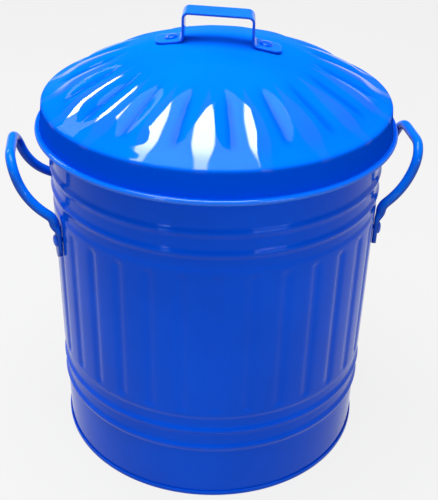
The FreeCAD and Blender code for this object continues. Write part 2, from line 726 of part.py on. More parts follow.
def foot_underside(across):
    """Height of the underside of a foot at a distance from the middle."""
    return "(%s - (%s - %s) * tan(%s))" % (foot_level, across, STRAP_RIVETS, foot_lean)


foot_rise = "(Sizes.strap_thickness / cos(%s))" % foot_lean
foot_end = "(%s + Sizes.foot_reach * cos(%s))" % (STRAP_RIVETS, foot_lean)
foot_end_top = "(%s + Sizes.strap_thickness * sin(%s))" % (foot_end, foot_lean)
grip_top = "(%s + Sizes.grip_rise)" % foot_underside(half_grip)
right_half = (
    (half_grip, grip_top),
    (half_grip, "(%s + %s)" % (foot_underside(half_grip), foot_rise)),
    (foot_end_top, "(%s + %s)" % (foot_underside(foot_end_top), foot_rise)),
    (foot_end, foot_underside(foot_end)),
    (inner_grip, foot_underside(inner_grip)),
    (inner_grip, "(%s - Sizes.strap_thickness)" % grip_top),
)
left_half = tuple(("-%s" % across, up) for across, up in reversed(right_half))
strap_section = new_sketch(strap, "strap_section")
outline(strap_section, right_half + left_half)
doc.recompute()
strap_pad = strap.newObject("PartDesign::Pad", "strap_pad")
strap_pad.Profile = strap_section
strap_pad.setExpression("Length", "Sizes.strap_width")
strap_pad.SideType = "Symmetric"
doc.recompute()
bend_rounds = (
    ("grip_outer", right_half[0], "Sizes.strap_bend"),
    ("grip_inner", right_half[5], "Sizes.strap_bend - Sizes.strap_thickness"),
    ("foot_upper", right_half[1], "Sizes.foot_bend"),
    ("foot_lower", right_half[4], "Sizes.foot_bend + Sizes.strap_thickness"),
)
last = strap_pad
for round_name, (across, up), radius in bend_rounds:
    picked = []
    for number, edge in enumerate(last.Shape.Edges, start=1):
        middle = edge.CenterOfMass
        beside = abs(abs(middle.x) - value(across)) < TOUCH and abs(middle.z - value(up)) < TOUCH
        if beside and abs(middle.y) < TOUCH:
            picked.append("Edge%d" % number)
    feature = strap.newObject("PartDesign::Fillet", "strap_" + round_name)
    feature.Base = (last, picked)
    feature.setExpression("Radius", radius)
    doc.recompute()
    last = feature
picked = []
for number, edge in enumerate(last.Shape.Edges, start=1):
    middle = edge.CenterOfMass
    at_side = abs(abs(middle.y) - value("Sizes.strap_width / 2")) < TOUCH
    if at_side and abs(middle.x) > value("(%s + %s) / 2" % (foot_end, foot_end_top)) - TOUCH:
        if abs(edge.Length - value("Sizes.strap_thickness")) < TOUCH:
            picked.append("Edge%d" % number)
foot_rounding = strap.newObject("PartDesign::Fillet", "strap_foot_corner")
foot_rounding.Base = (last, picked)
foot_rounding.setExpression("Radius", "Sizes.foot_corner")
strap.Placement.Rotation = FreeCAD.Rotation(FreeCAD.Vector(0, 0, 1), value("Sizes.strap_turn"))
doc.recompute()
strap_drills = []
for side_name, side in LID_SIDES:
    strap_drills.append(drill("strap_hole_" + side_name, lid_frame(side, "0")))
strap_holes = boolean("Part::MultiFuse", "strap_holes", strap_drills[0], strap_drills[1:])
lid_handle = boolean("Part::Cut", "lid_handle", strap, [strap_holes])

# Rivets and washers of the strap handle
LID_WASHER_DROP = "(Sizes.lid_sheet + Sizes.washer_gap)"
LID_GRIP = "(Sizes.strap_seat + Sizes.strap_thickness + %s + Sizes.washer_thickness)" % LID_WASHER_DROP
lid_pieces = []
for side_name, side in LID_SIDES:
    rivet_place = lid_frame(side, "Sizes.strap_seat + Sizes.strap_thickness")
    lid_pieces.append(rivet("lid_rivet_" + side_name, LID_GRIP, rivet_place))
    lid_pieces.append(washer("lid_washer_" + side_name, lid_frame(side, "-%s" % LID_WASHER_DROP)))

pieces = [body_shell, rim_wire, base_pan] + handle_pieces
pieces += [lid_shell, lid_edge_wire, lid_handle] + lid_pieces
for item in doc.Objects:
    for fault in ("Invalid", "Error"):
        if fault in item.State:
            raise RuntimeError("%s is %s" % (item.Label, item.State))
for piece in pieces:
    if piece.Shape.isNull() or not piece.Shape.isValid():
        raise RuntimeError("%s has no valid shape" % piece.Label)
    if len(piece.Shape.Solids) != 1:
        raise RuntimeError("%s has %d solids" % (piece.Label, len(piece.Shape.Solids)))
os.makedirs("parts", exist_ok=True)
for piece in pieces:
    piece.Shape.exportStep("parts/%s.step" % piece.Label)
    box = piece.Shape.BoundBox
    print("%-28s %10.1f mm3  z %7.2f to %7.2f  reach %7.2f" % (
        piece.Label, piece.Shape.Volume, box.ZMin, box.ZMax, max(box.XMax, -box.XMin)))
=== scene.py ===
import math

import bmesh
import bpy
from mathutils import Matrix, Vector


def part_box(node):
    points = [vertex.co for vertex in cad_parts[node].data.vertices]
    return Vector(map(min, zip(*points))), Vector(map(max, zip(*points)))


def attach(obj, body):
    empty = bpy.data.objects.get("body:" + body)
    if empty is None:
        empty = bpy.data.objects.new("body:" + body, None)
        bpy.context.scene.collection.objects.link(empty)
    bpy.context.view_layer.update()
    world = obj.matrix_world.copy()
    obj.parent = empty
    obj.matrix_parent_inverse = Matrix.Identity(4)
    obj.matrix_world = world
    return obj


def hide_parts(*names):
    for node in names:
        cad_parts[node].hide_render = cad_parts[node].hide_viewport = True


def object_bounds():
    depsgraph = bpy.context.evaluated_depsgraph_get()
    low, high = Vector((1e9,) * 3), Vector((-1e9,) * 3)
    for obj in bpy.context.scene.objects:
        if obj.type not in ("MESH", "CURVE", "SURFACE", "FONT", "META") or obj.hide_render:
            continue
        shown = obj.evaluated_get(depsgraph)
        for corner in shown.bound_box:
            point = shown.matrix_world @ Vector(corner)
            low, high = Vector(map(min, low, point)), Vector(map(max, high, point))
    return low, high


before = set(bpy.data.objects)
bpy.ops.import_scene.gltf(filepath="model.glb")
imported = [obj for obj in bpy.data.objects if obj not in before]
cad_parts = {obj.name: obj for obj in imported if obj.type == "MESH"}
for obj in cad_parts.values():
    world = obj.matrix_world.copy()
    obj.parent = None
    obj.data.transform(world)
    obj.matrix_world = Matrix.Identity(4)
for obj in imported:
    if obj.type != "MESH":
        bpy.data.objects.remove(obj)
cad_low, cad_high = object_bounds()
scene = bpy.context.scene
scene.view_settings.view_transform = "Standard"

# The photograph's view: from in front and above, a little to the bin's left,
# through a short telephoto lens that is held not quite level.
aim = Vector((0, 0, 0.2061))
view_distance = 1.0566
view_azimuth = math.radians(-7.2)
view_elevation = 0.5404
view_roll = 0.022
back = Vector((math.sin(view_azimuth) * math.cos(view_elevation),
               -math.cos(view_azimuth) * math.cos(view_elevation),
               math.sin(view_elevation)))
level_right = Vector((0, 0, 1)).cross(back).normalized()
level_up = back.cross(level_right)
view_right = level_right * math.cos(view_roll) + level_up * math.sin(view_roll)
view_up = level_up * math.cos(view_roll) - level_right * math.sin(view_roll)
camera = bpy.data.objects.new("camera", bpy.data.cameras.new("camera"))
camera.data.sensor_width = 36
camera.data.lens = 68.2
camera.data.shift_x = 0.0109
stand = Matrix((view_right, view_up, back)).transposed().to_4x4()
stand.translation = aim + back * view_distance
camera.matrix_world = stand
scene.collection.objects.link(camera)
scene.camera = camera


# The studio: a pale floor, a white surround that darkens overhead, a broad softbox over the
# lid, a strip light behind its left side, a dim panel over the front and two small front lamps.
class Signal:
    """The value at one socket of a node tree; sums and products of signals add Math nodes."""

    def __init__(self, tree, socket=None):
        self.tree = tree
        self.socket = socket

    def node(self, kind, settings, sockets, out=0):
        """Adds a node, sets it, feeds its sockets with values or signals and gives one output."""
        made = self.tree.nodes.new(kind)
        for name, setting in settings.items():
            setattr(made, name, setting)
        for key, fed in sockets.items():
            if isinstance(fed, Signal):
                self.tree.links.new(fed.socket, made.inputs[key])
            else:
                made.inputs[key].default_value = fed
        return Signal(self.tree, made.outputs[out] if len(made.outputs) else None)

    def other(self, out):
        """Another output of the same node."""
        return Signal(self.tree, self.socket.node.outputs[out])

    def math(self, operation, *fed):
        return self.node("ShaderNodeMath", {"operation": operation}, dict(enumerate((self, *fed))))

    def smooth(self, low, high):
        """Goes smoothly from 0 at low to 1 at high."""
        return self.node("ShaderNodeMapRange", {"interpolation_type": "SMOOTHSTEP"},
                         {"Value": self, "From Min": low, "From Max": high})

    def blend(self, first, second):
        """Colour that goes from the first to the second as this signal goes from 0 to 1."""
        return self.node("ShaderNodeMix", {"data_type": "RGBA"}, {0: self, 6: first, 7: second}, 2)

    def __add__(self, fed):
        return self.math("ADD", fed)

    __radd__ = __add__

    def __sub__(self, fed):
        return self.math("SUBTRACT", fed)

    def __rsub__(self, fed):
        return self.math("MULTIPLY_ADD", -1.0, fed)

    def __mul__(self, fed):
        return self.math("MULTIPLY", fed)

    __rmul__ = __mul__

    def __truediv__(self, fed):
        return self.math("DIVIDE", fed)

    def __rtruediv__(self, fed):
        return self.math("POWER", -1.0) * fed


def seen(tree):
    """1 where the camera, a reflection or a see-through body looks, 0 for light on the object."""
    path = Signal(tree).node("ShaderNodeLightPath", {}, {}, "Is Camera Ray")
    mirrored = path.math("MAXIMUM", path.other("Is Glossy Ray"))
    return mirrored.math("MAXIMUM", path.other("Is Transmission Ray"))


surround_level = 0.28
ceiling_level = 0.12
ceiling_rise = (0.02, 0.22)
world = bpy.data.worlds.new("studio")
scene.world = world
world.use_nodes = True
world.node_tree.nodes.clear()
look = seen(world.node_tree)
way = look.node("ShaderNodeTexCoord", {}, {}, "Generated")
rise = way.node("ShaderNodeSeparateXYZ", {}, {"Vector": way}, "Z")
backdrop = 1 - rise.smooth(*ceiling_rise) * (1 - ceiling_level)
strength = surround_level + look * (backdrop - surround_level)
surround = look.node("ShaderNodeBackground", {}, {"Color": (1, 1, 1, 1), "Strength": strength})
look.node("ShaderNodeOutputWorld", {}, {"Surface": surround})

floor_reach = 7
floor_grey = (0.36, 0.36, 0.36, 1)
floor_glow = 0.84
floor_mesh = bpy.data.meshes.new("floor")
floor_mesh.from_pydata([(-floor_reach, -floor_reach, 0), (floor_reach, -floor_reach, 0),
                        (floor_reach, floor_reach, 0), (-floor_reach, floor_reach, 0)], [], [(0, 1, 2, 3)])
floor = bpy.data.objects.new("floor", floor_mesh)
scene.collection.objects.link(floor)
floor_paper = bpy.data.materials.new("floor_paper")
floor_paper.use_nodes = True
floor_paper.node_tree.nodes.clear()
look = seen(floor_paper.node_tree)
lit = look.node("ShaderNodeBsdfDiffuse", {}, {"Color": floor_grey})
white = look.node("ShaderNodeEmission", {}, {"Color": (1, 1, 1, 1), "Strength": 1.0})
paper = look.node("ShaderNodeMixShader", {}, {0: look * floor_glow, 1: lit, 2: white})
look.node("ShaderNodeOutputMaterial", {}, {"Surface": paper})
floor_mesh.materials.append(floor_paper)

# Each lamp's name, place, aim, direction of its long side, length, width and power
softboxes = (
    ("softbox_over", (-0.2, 0.0, 1.9), (-0.2, 0.0, 0.42), (1.0, 0.0, 0.0), 1.15, 0.98, 33),
    ("strip_left", (-0.85, 0.95, 1.27), (-0.1, 0.0, 0.42), (-1.0, 0.1, 0.0), 0.7, 0.25, 7),
    ("panel_over", (-0.08, -1.0, 2.1), (-0.08, -1.0, 0.0), (1.0, 0.0, 0.0), 1.3, 0.9, 7),
    ("front_left", (-1.11, -1.42, 0.72), (0.0, 0.0, 0.25), (1.0, 0.0, 0.0), 0.2, 0.12, 3),
    ("front_right", (0.84, -1.58, 0.78), (0.0, 0.0, 0.25), (1.0, 0.0, 0.0), 0.7, 0.1, 5),
)
for label, place, target, along, length, width, power in softboxes:
    lamp = bpy.data.lights.new(label, "AREA")
    lamp.shape = "RECTANGLE"
    lamp.size = length
    lamp.size_y = width
    lamp.energy = power
    softbox = bpy.data.objects.new(label, lamp)
    outward = (Vector(place) - Vector(target)).normalized()
    lengthwise = (Vector(along) - outward * outward.dot(Vector(along))).normalized()
    turned = Matrix((lengthwise, outward.cross(lengthwise), outward)).transposed().to_4x4()
    turned.translation = place
    softbox.matrix_world = turned
    softbox.visible_camera = False
    scene.collection.objects.link(softbox)


# The wall: painted sheet steel, rolled into a tube that widens a little upward. A raised
# belt of upright flutes is pressed into it between two pairs of beads, and its top edge is
# rolled outward over a steel wire.
seam_weld = 2e-6
crease_angle = math.radians(52)


def blank(name, angles, profile):
    """Flat sheet to be turned up: X is the angle about the bin's axis, Y the radius, Z the height."""
    points = [(angle, radius, height) for radius, height in profile for angle in angles]
    across = len(angles)
    faces = []
    for row in range(len(profile) - 1):
        for column in range(across - 1):
            corner = row * across + column
            faces.append((corner, corner + 1, corner + across + 1, corner + across))
    mesh = bpy.data.meshes.new(name)
    mesh.from_pydata(points, [], faces)
    piece = bpy.data.objects.new(name, mesh)
    scene.collection.objects.link(piece)
    return piece


def start_tree(name, sizes):
    """Starts a node tree whose inputs are a blank, its finish and the named sizes, and gives the blank."""
    tree = bpy.data.node_groups.new(name, "GeometryNodeTree")
    tree.interface.new_socket("Geometry", in_out="OUTPUT", socket_type="NodeSocketGeometry")
    tree.interface.new_socket("Geometry", in_out="INPUT", socket_type="NodeSocketGeometry")
    tree.interface.new_socket("Finish", in_out="INPUT", socket_type="NodeSocketMaterial")
    for label, size in sizes.items():
        kind = "NodeSocketInt" if isinstance(size, int) else "NodeSocketFloat"
        tree.interface.new_socket(label, in_out="INPUT", socket_type=kind)
    return Signal(tree).node("NodeGroupInput", {}, {}, "Geometry")


def turned_up(given, angle, radius, height):
    """The blank turned up about the axis, closed along its seam and shaded smooth."""
    spot = given.node("ShaderNodeCombineXYZ", {}, {
        "X": radius * angle.math("COSINE"), "Y": radius * angle.math("SINE"), "Z": height})
    formed = given.node("GeometryNodeSetPosition", {}, {"Geometry": given, "Position": spot})
    closed = given.node("GeometryNodeMergeByDistance", {}, {"Geometry": formed, "Distance": seam_weld})
    return given.node("GeometryNodeSetShadeSmooth", {}, {"Geometry": closed})


def end_tree(given, formed):
    """Ends the tree with plain geometry in its finish, and gives the tree."""
    whole = given.node("GeometryNodeRealizeInstances", {}, {"Geometry": formed})
    painted = given.node("GeometryNodeSetMaterial", {}, {
        "Geometry": whole, "Material": given.other("Finish")})
    given.node("NodeGroupOutput", {}, {"Geometry": painted})
    return given.tree


def turning(name, sizes, press):
    """Node tree that turns a flat blank up about the axis; press shapes it by the tree's named sizes."""
    given = start_tree(name, sizes)
    place = given.node("GeometryNodeInputPosition", {}, {})
    angle = given.node("ShaderNodeSeparateXYZ", {}, {"Vector": place}, "X")
    named = {label: given.other(label) for label in sizes}
    radius, height = press(angle, angle.other("Y"), angle.other("Z"), named)
    return end_tree(given, turned_up(given, angle, radius, height))


def shape(piece, tree, sizes, finish, sheet=0.0):
    """Runs the tree on the piece, gives a sheet its thickness and keeps the result as a plain mesh."""
    step = piece.modifiers.new("form", "NODES")
    step.node_group = tree
    inputs = {**sizes, "Finish": finish}
    for socket in tree.interface.items_tree:
        if socket.in_out == "INPUT" and socket.name in inputs:
            step[socket.identifier] = inputs[socket.name]
    if sheet:
        thicken = piece.modifiers.new("sheet", "SOLIDIFY")
        thicken.thickness = sheet
        thicken.offset = -1
        thicken.use_even_offset = True
    formed = bpy.data.meshes.new_from_object(piece.evaluated_get(bpy.context.evaluated_depsgraph_get()))
    piece.modifiers.clear()
    flat = piece.data
    piece.data = formed
    bpy.data.meshes.remove(flat)
    formed.set_sharp_from_angle(angle=crease_angle)
    return piece


def spread(stops):
    """Values from stop to stop; each stop gives where it ends and in how many steps."""
    values = [stops[0][0]]
    for end, steps in stops[1:]:
        start = values[-1]
        values += [start + (end - start) * step / steps for step in range(1, steps + 1)]
    return values


def bump(offset):
    """Height of a soft round ridge, 1 in the middle and 0 from an offset of 1."""
    return 0.5 + 0.5 * math.cos(math.pi * min(1.0, abs(offset)))


def ease(low, high, value):
    """Goes smoothly from 0 at low to 1 at high."""
    part = min(1.0, max(0.0, (value - low) / (high - low)))
    return part * part * (3 - 2 * part)


def enamel(name, colour, deep, peel_depth, roughness, shine, lacquer, finish=None):
    """Stoved gloss paint: slow drifts of colour, faint wipe marks and a fine orange peel over wavy sheet.

    A finish changes the paint's colour and its lacquer from place to place.
    """
    wave_share = 0.8
    wipe_dulling = 0.06
    peel_dulling = 0.04
    material = bpy.data.materials.new(name)
    material.use_nodes = True
    material.node_tree.nodes.clear()
    where = Signal(material.node_tree).node("ShaderNodeTexCoord", {}, {}, "Object")
    drift = where.node("ShaderNodeTexNoise", {}, {
        "Vector": where, "Scale": 7.0, "Detail": 3.0, "Roughness": 0.55}, "Fac").smooth(0.32, 0.7)
    stretched = where.node("ShaderNodeMapping", {}, {"Vector": where, "Scale": (60.0, 60.0, 9.0)})
    wipes = where.node("ShaderNodeTexNoise", {}, {
        "Vector": stretched, "Scale": 1.0, "Detail": 4.0, "Roughness": 0.6}, "Fac").smooth(0.45, 0.75)
    waves = where.node("ShaderNodeTexNoise", {}, {
        "Vector": where, "Scale": 42.0, "Detail": 1.0, "Roughness": 0.4}, "Fac")
    peel = where.node("ShaderNodeTexNoise", {}, {
        "Vector": where, "Scale": 420.0, "Detail": 2.0, "Roughness": 0.5}, "Fac")
    relief = waves * wave_share + peel * (1 - wave_share)
    skin = where.node("ShaderNodeBump", {}, {"Strength": 1.0, "Distance": peel_depth, "Height": relief})
    paint = drift.blend((*colour, 1), (*deep, 1))
    if finish:
        paint, lacquer = finish(where, paint, lacquer)
    rough = roughness + wipes * wipe_dulling + peel * peel_dulling
    coat = where.node("ShaderNodeBsdfPrincipled", {}, {
        "Base Color": paint, "Roughness": rough, "Normal": skin, "IOR": 1.5,
        "Specular IOR Level": shine, "Specular Tint": (0.1, 0.5, 1.0, 1),
        "Coat Weight": lacquer, "Coat IOR": 2.0, "Coat Roughness": 0.03})
    where.node("ShaderNodeOutputMaterial", {}, {"Surface": coat})
    return material


wall_paint = enamel("wall_paint", (0.0, 0.1, 0.9), (0.0, 0.085, 0.8), peel_depth=0.00012,
                    roughness=0.1, shine=0.1, lacquer=0.04)
wall_sheet = 0.0007
touch_gap = 0.00005
foot_radius = 0.1677
top_radius = 0.1710
wall_foot = 0.00095
rim_wire_low, rim_wire_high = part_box("rim_wire")
rim_wire = (rim_wire_high.z - rim_wire_low.z) / 2
rim_height = (rim_wire_high.z + rim_wire_low.z) / 2
rim_radius = rim_wire_high.x - rim_wire
rim_bore = rim_wire + touch_gap
rim_tuck = 0.012
roll_turn = 5.4
rim_steps = 13
bead_rise = 0.0025
bead_half = 0.0060
beads = (0.068, 0.0904, 0.3025, 0.3249)
belt_low = 0.105
belt_high = 0.289
belt_rise = 0.0015
belt_shoulder = 0.006
flute_count = 32
flute_half = 0.0082
flute_depth = 0.0016
flute_low = 0.1205
flute_high = 0.2735


def wall_radius(height):
    """Outer radius of the wall before the flutes are pressed."""
    radius = foot_radius + (top_radius - foot_radius) * height / rim_height
    radius += belt_rise * ease(belt_low, belt_low + belt_shoulder, height)
    radius -= belt_rise * ease(belt_high - belt_shoulder, belt_high, height)
    for bead in beads:
        radius += bead_rise * bump((height - bead) / bead_half)
    tuck = ease(rim_height - rim_tuck, rim_height, height)
    return radius + (rim_radius - rim_bore - radius) * tuck


# Rows lie close over the beads, the belt's shoulders and the flutes' ends, and wide on plain sheet
wall_rows = spread(((wall_foot,), (0.01, 2), (0.059, 4), (0.077, 12), (0.0815, 2), (0.0995, 12), (0.104, 2),
                    (0.112, 6), (0.128, 11), (0.266, 8), (0.282, 11), (0.290, 6), (0.294, 2), (0.311, 12),
                    (0.316, 2), (0.334, 12), (0.376, 3), (rim_height, 5)))
wall_profile = [(wall_radius(height), height) for height in wall_rows]
for step in range(1, rim_steps + 1):
    swing = roll_turn * step / rim_steps
    wall_profile.append((rim_radius - rim_bore * math.cos(swing), rim_height + rim_bore * math.sin(swing)))
flute_pitch = 2 * math.pi / flute_count
# Columns of one flute, in parts of the pitch, close together across the pressed groove
flute_columns = (-0.5, -0.33, -0.2, -0.15, -0.1, -0.05, 0.0, 0.05, 0.1, 0.15, 0.2, 0.33)
wall_angles = [flute_pitch * (flute + 0.5 + column)
               for flute in range(flute_count) for column in flute_columns]
wall_angles.append(wall_angles[0] + 2 * math.pi)


def press_flutes(angle, radius, height, size):
    """Sinks the round-ended upright flutes into the belt."""
    pitch = 2 * math.pi / size["Flutes"]
    turn = angle / pitch - 0.5
    beside = (turn - turn.math("ROUND")) * pitch * radius
    beyond = (size["Low"] - height).math("MAXIMUM", height - size["High"]).math("MAXIMUM", 0.0)
    away = (beside * beside + beyond * beyond).math("SQRT") / size["Half Width"]
    sunk = 0.5 + 0.5 * (away.math("MINIMUM", 1.0) * math.pi).math("COSINE")
    return radius - size["Depth"] * sunk, height


wall_sizes = {"Flutes": flute_count, "Half Width": flute_half, "Depth": flute_depth,
              "Low": flute_low, "High": flute_high}
wall = shape(blank("wall", wall_angles, wall_profile), turning("wall_form", wall_sizes, press_flutes),
             wall_sizes, wall_paint, wall_sheet)
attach(wall, "bin")
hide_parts("body_shell")


# The base pan: a dished sheet-steel disc whose edge is folded round the wall's foot, so the
# bin stands on the fold and the floor inside is raised clear of the ground.
pan_sheet = 0.0008
pan_floor = 0.011
pan_flank = 0.16605
pan_fold = 0.16945
fold_height = 0.006
pan_steps = 144
# The floor, its bend down to the flank, the fold that it stands on and the lip round the wall's foot
pan_profile = [(radius, pan_floor) for radius in spread(((0.0,), (0.03, 2), (0.12, 3), (0.1555, 3)))]
pan_profile += [(0.1605, 0.0107), (0.1640, 0.0094), (0.1657, 0.0072), (pan_flank, 0.0045)]
pan_profile += [(pan_flank, 0.0016), (0.16625, 0.0006), (0.16685, 0.0)]
pan_profile += [(0.1685, 0.0), (0.16915, 0.0006), (pan_fold, 0.0016)]
pan_profile += [(pan_fold, fold_height - 0.0014), (0.16915, fold_height - 0.0005), (0.1686, fold_height)]


def full_turn(steps):
    """Angles of one turn in equal steps, with both ends."""
    return [2 * math.pi * step / steps for step in range(steps + 1)]


def plain(angle, radius, height, size):
    """Leaves the turned form as it is."""
    return radius, height


pan = shape(blank("pan", full_turn(pan_steps), pan_profile), turning("pan_form", {}, plain), {},
            wall_paint, pan_sheet)
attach(pan, "bin")
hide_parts("base_pan")


# The two side handles: round steel rod, bent into an arch that stands off the wall, with
# its ends hammered flat and riveted over a flute. They are painted with the bin.
def handle_shade_finish(where, paint, lacquer):
    """Painted shade: full blue on what faces up, a darker blue painted on the edges and the undersides."""
    painted_shade_blue = (0.0, 0.05, 0.5, 1)
    shade_fade = (-0.5, 0.7)
    # Painted shade, darker the more the surface faces down
    facing = where.node("ShaderNodeNewGeometry", {}, {}, "Normal")
    up = where.node("ShaderNodeSeparateXYZ", {}, {"Vector": facing}, "Z")
    return up.smooth(*shade_fade).blend(painted_shade_blue, paint), lacquer


handle_paint = enamel("handle_paint", (0.0, 0.17, 0.92), (0.0, 0.15, 0.84), peel_depth=0.0001,
                      roughness=0.12, shine=0.1, lacquer=0.1, finish=handle_shade_finish)
rod = 0.0053
rod_seat = 0.00045
rod_sides = 16
round_bar = 2.0
leg_angle = 1.5 * flute_pitch
rivet_height = 0.2565
paddle_half = 0.0075
paddle_thick = 0.005
paddle_length = 0.038
paddle_tip = 0.0018
paddle_square = 4.5
paddle_runs = (0.0, 0.0006, 0.0018, 0.0036, 0.007, 0.012, 0.018, 0.024)
neck_start = 0.027
neck_gap = 0.001
neck_steps = 6
rod_start = rivet_height + paddle_length / 2 + neck_gap
leg_lean = math.radians(19.5)
leg_bend_inside = 0.0045
run_rise = math.radians(28.5)
run_length = 0.0026
arch_rise = math.radians(72.8)
arch_bend = 0.061
corner_bend = 0.0226
mirror_weld = 1e-5
rounding_levels = 1


def arc(start, heading, target, radius, steps):
    """Points of a bend that turns one heading into another."""
    turn = heading.angle(target)
    inward = (target - heading * math.cos(turn)).normalized()
    swings = [turn * step / steps for step in range(1, steps + 1)]
    return [start + heading * radius * math.sin(swing) + inward * radius * (1 - math.cos(swing))
            for swing in swings]


def loft(points, across, sections, sides):
    """Vertices and faces of a bar along the points.

    Each section has a half width, a half thickness and a squareness, which is 2 for a round bar.
    """
    corners = []
    for number, centre in enumerate(points):
        ahead = (points[min(number + 1, len(points) - 1)] - points[max(number - 1, 0)]).normalized()
        across = (across - ahead * across.dot(ahead)).normalized()
        out = across.cross(ahead)
        half_width, half_thick, square = sections[number]
        for side in range(sides):
            swing = 2 * math.pi * (side + 0.5) / sides
            run = math.copysign(abs(math.cos(swing)) ** (2 / square), math.cos(swing))
            lift = math.copysign(abs(math.sin(swing)) ** (2 / square), math.sin(swing))
            corners.append(centre + across * run * half_width + out * lift * half_thick)
    faces = [tuple(reversed(range(sides)))]
    for ring in range(len(points) - 1):
        for side in range(sides):
            near = ring * sides + side
            far = ring * sides + (side + 1) % sides
            faces.append((near, far, far + sides, near + sides))
    return corners, faces


def mirrored_bar(name, half, flip, turn, finish):
    """A bar whose second half is its first flipped over the middle, then turned about the axis."""
    corners, faces = half
    count = len(corners)
    both = list(corners) + [Vector((corner.x * flip[0], corner.y * flip[1], corner.z)) for corner in corners]
    mesh = bpy.data.meshes.new(name)
    mesh.from_pydata(both, [], faces + [tuple(count + spot for spot in reversed(face)) for face in faces])
    join = bmesh.new()
    join.from_mesh(mesh)
    bmesh.ops.remove_doubles(join, verts=join.verts, dist=mirror_weld)
    bmesh.ops.recalc_face_normals(join, faces=join.faces)
    bmesh.ops.rotate(join, verts=join.verts, cent=(0, 0, 0), matrix=Matrix.Rotation(turn, 3, "Z"))
    join.to_mesh(mesh)
    join.free()
    mesh.materials.append(finish)
    mesh.shade_smooth()
    piece = bpy.data.objects.new(name, mesh)
    scene.collection.objects.link(piece)
    rounding = piece.modifiers.new("rounding", "SUBSURF")
    rounding.levels = rounding_levels
    rounding.render_levels = rounding_levels
    return piece


radial = Vector((math.cos(leg_angle), -math.sin(leg_angle), 0))
along_wall = Vector((math.sin(leg_angle), math.cos(leg_angle), 0))
inwards = Vector((0, 1, 0))
upward = Vector((0, 0, 1))
leg_out = Vector((math.cos(leg_lean), math.sin(leg_lean), 0))


def leg_point(height, off):
    """Point at a height on the front leg's line, off the belt's face."""
    return radial * (wall_radius(height) + off) + upward * height


rod_points = []
rod_sections = []
paddle_foot = rivet_height - paddle_length / 2
paddle_middle = paddle_thick / 2 + touch_gap
for run in paddle_runs:
    inset = max(0.0, paddle_half - run)
    width = max(paddle_tip, math.sqrt(paddle_half ** 2 - inset ** 2))
    rod_points.append(leg_point(paddle_foot + run, paddle_middle))
    rod_sections.append((width, paddle_thick / 2, paddle_square))
neck_foot = paddle_foot + neck_start
for step in range(neck_steps + 1):
    height = neck_foot + (rod_start - neck_foot) * step / neck_steps
    part = ease(0.0, 1.0, step / neck_steps)
    rod_points.append(leg_point(height, paddle_middle + (rod + rod_seat - paddle_middle) * part))
    rod_sections.append((paddle_half + (rod - paddle_half) * part,
                         paddle_thick / 2 + (rod - paddle_thick / 2) * part,
                         paddle_square + (round_bar - paddle_square) * part))
run_heading = leg_out * math.cos(run_rise) + upward * math.sin(run_rise)
arch_heading = leg_out * math.cos(arch_rise) + upward * math.sin(arch_rise)
rod_points += arc(rod_points[-1], upward, run_heading, rod + leg_bend_inside, steps=5)
rod_points.append(rod_points[-1] + run_heading * run_length)
rod_points += arc(rod_points[-1], run_heading, arch_heading, arch_bend, steps=9)
rod_points += arc(rod_points[-1], arch_heading, inwards, corner_bend, steps=9)
bar_end = rod_points[-1]
rod_points.append(Vector((bar_end.x, bar_end.y / 2, bar_end.z)))
rod_points.append(Vector((bar_end.x, 0, bar_end.z)))
rod_sections += [(rod, rod, round_bar)] * (len(rod_points) - len(rod_sections))
rod_half = loft(rod_points, along_wall, rod_sections, rod_sides)
for side_name, side_turn in (("right", 0.0), ("left", math.pi)):
    handle = mirrored_bar("side_handle_" + side_name + "_rod", rod_half, (1, -1), side_turn, handle_paint)
    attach(handle, "bin")
    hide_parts("side_handle_" + side_name)


# The handle rivets: round-headed steel rivets through the flattened rod ends and the wall,
# closed inside over plain washers. The heads are painted over. The washers are bare steel, and
# so are the wires in the two rolled edges.
def riveting(name, sizes, place):
    """Node tree that turns up one rivet from its blank and sets a copy at each of the places."""
    given = start_tree(name, sizes)
    spot = given.node("GeometryNodeInputPosition", {}, {})
    angle = given.node("ShaderNodeSeparateXYZ", {}, {"Vector": spot}, "X")
    rivet = turned_up(given, angle, angle.other("Y"), angle.other("Z"))
    number = given.node("GeometryNodeInputIndex", {}, {})
    way = place(number, given.other("Angle"))
    seat = given.node("ShaderNodeCombineXYZ", {}, {
        "X": given.other("Radius") * way.math("COSINE"), "Y": given.other("Radius") * way.math("SINE"),
        "Z": given.other("Height")})
    spots = given.node("GeometryNodePoints", {}, {"Count": given.other("Rivets"), "Position": seat})
    facing = given.node("ShaderNodeCombineXYZ", {}, {"Y": given.other("Lean"), "Z": way})
    copies = given.node("GeometryNodeInstanceOnPoints", {}, {
        "Points": spots, "Instance": rivet, "Rotation": facing})
    return end_tree(given, copies)


tail_radius = 0.004
tail_rise = 0.0014
tail_steps = 5
shank_radius = 0.0025
head_radius = 0.0065
head_edge = 0.0003
head_rise = 0.0027
head_fullness = 0.9
head_steps = 8


def rivet_profile(grip):
    """Radius and height round a rivet: the formed tail, the shank through the sheets and the domed head."""
    outline = []
    for step in range(tail_steps + 1):
        swing = math.pi / 2 * step / tail_steps
        outline.append((tail_radius * math.sin(swing), -grip - tail_rise * math.cos(swing)))
    outline += [(shank_radius, -grip), (shank_radius, 0.0)]
    outline += [(head_radius - head_edge, 0.0), (head_radius, head_edge)]
    for step in range(1, head_steps + 1):
        swing = math.pi / 2 * step / head_steps
        level = head_edge + head_rise * math.sin(swing) ** head_fullness
        outline.append((head_radius * math.cos(swing), level))
    return outline


rivet_paint = enamel("rivet_paint", (0.0, 0.11, 0.84), (0.0, 0.09, 0.74), peel_depth=0.00006,
                     roughness=0.1, shine=0.15, lacquer=0.16)
rivet_steps = 32
rivet_angles = full_turn(rivet_steps)
head_seat = paddle_thick + touch_gap
